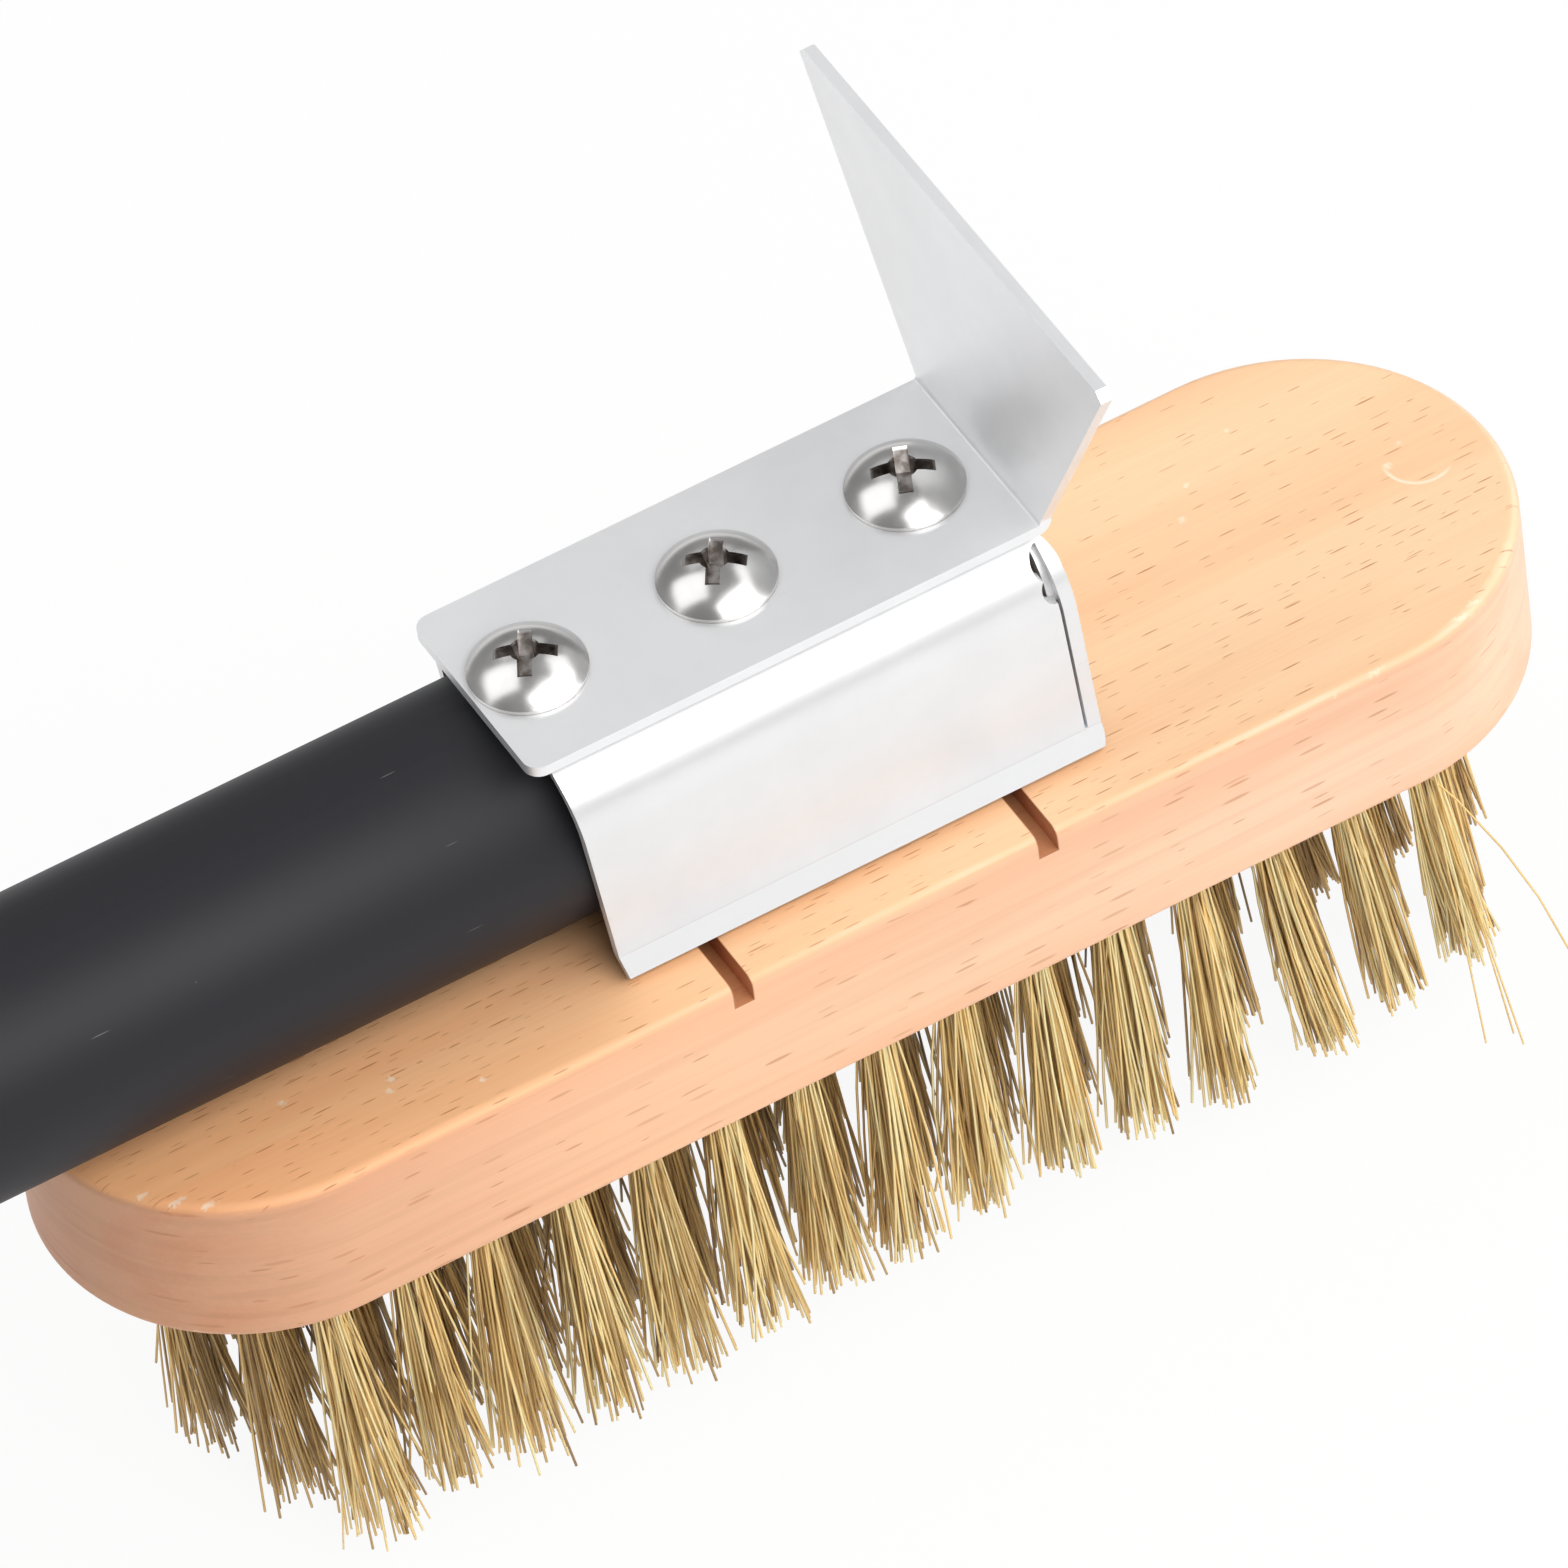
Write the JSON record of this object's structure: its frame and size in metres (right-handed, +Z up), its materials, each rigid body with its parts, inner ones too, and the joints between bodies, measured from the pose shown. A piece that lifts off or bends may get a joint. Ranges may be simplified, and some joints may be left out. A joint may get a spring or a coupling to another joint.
{
  "type": "pizza oven brush",
  "caption": "Wire brush for a hot oven floor: round-ended wood block set with brass wire tufts, a black tube handle in a folded bracket, and a flared sheet scraper blade.",
  "frame": {"origin": "tip of the middle tuft, below the centre of the wood block, on the surface that the brush stands on", "axes": "+Z up, away from the bristle tips; the handle runs towards -X and the scraper blade stands at the +X end"},
  "size_m": [0.504, 0.06, 0.1203],
  "materials": {
    "beech": "bare sanded beech, satin",
    "brass_wire": "drawn brass wire, bright",
    "staple_steel": "plain flat wire",
    "black_tube": "satin black anodised",
    "plug_plastic": "fine matte",
    "bracket_sheet": "satin sheet",
    "scraper_sheet": "satin sheet",
    "polished_steel": "polished"
  },
  "bodies": {
    "root": {"wood_block": "beech", "tuft_row_1": "brass_wire", "tuft_row_2": "brass_wire", "tuft_row_3": "brass_wire", "tuft_row_4": "brass_wire", "tuft_row_5": "brass_wire", "tuft_staples": "staple_steel", "handle_tube": "black_tube", "handle_plug": "plug_plastic", "bracket": "bracket_sheet", "scraper": "scraper_sheet", "screw_rear": "polished_steel", "screw_middle": "polished_steel", "screw_front": "polished_steel"}
  },
  "joints": []
}
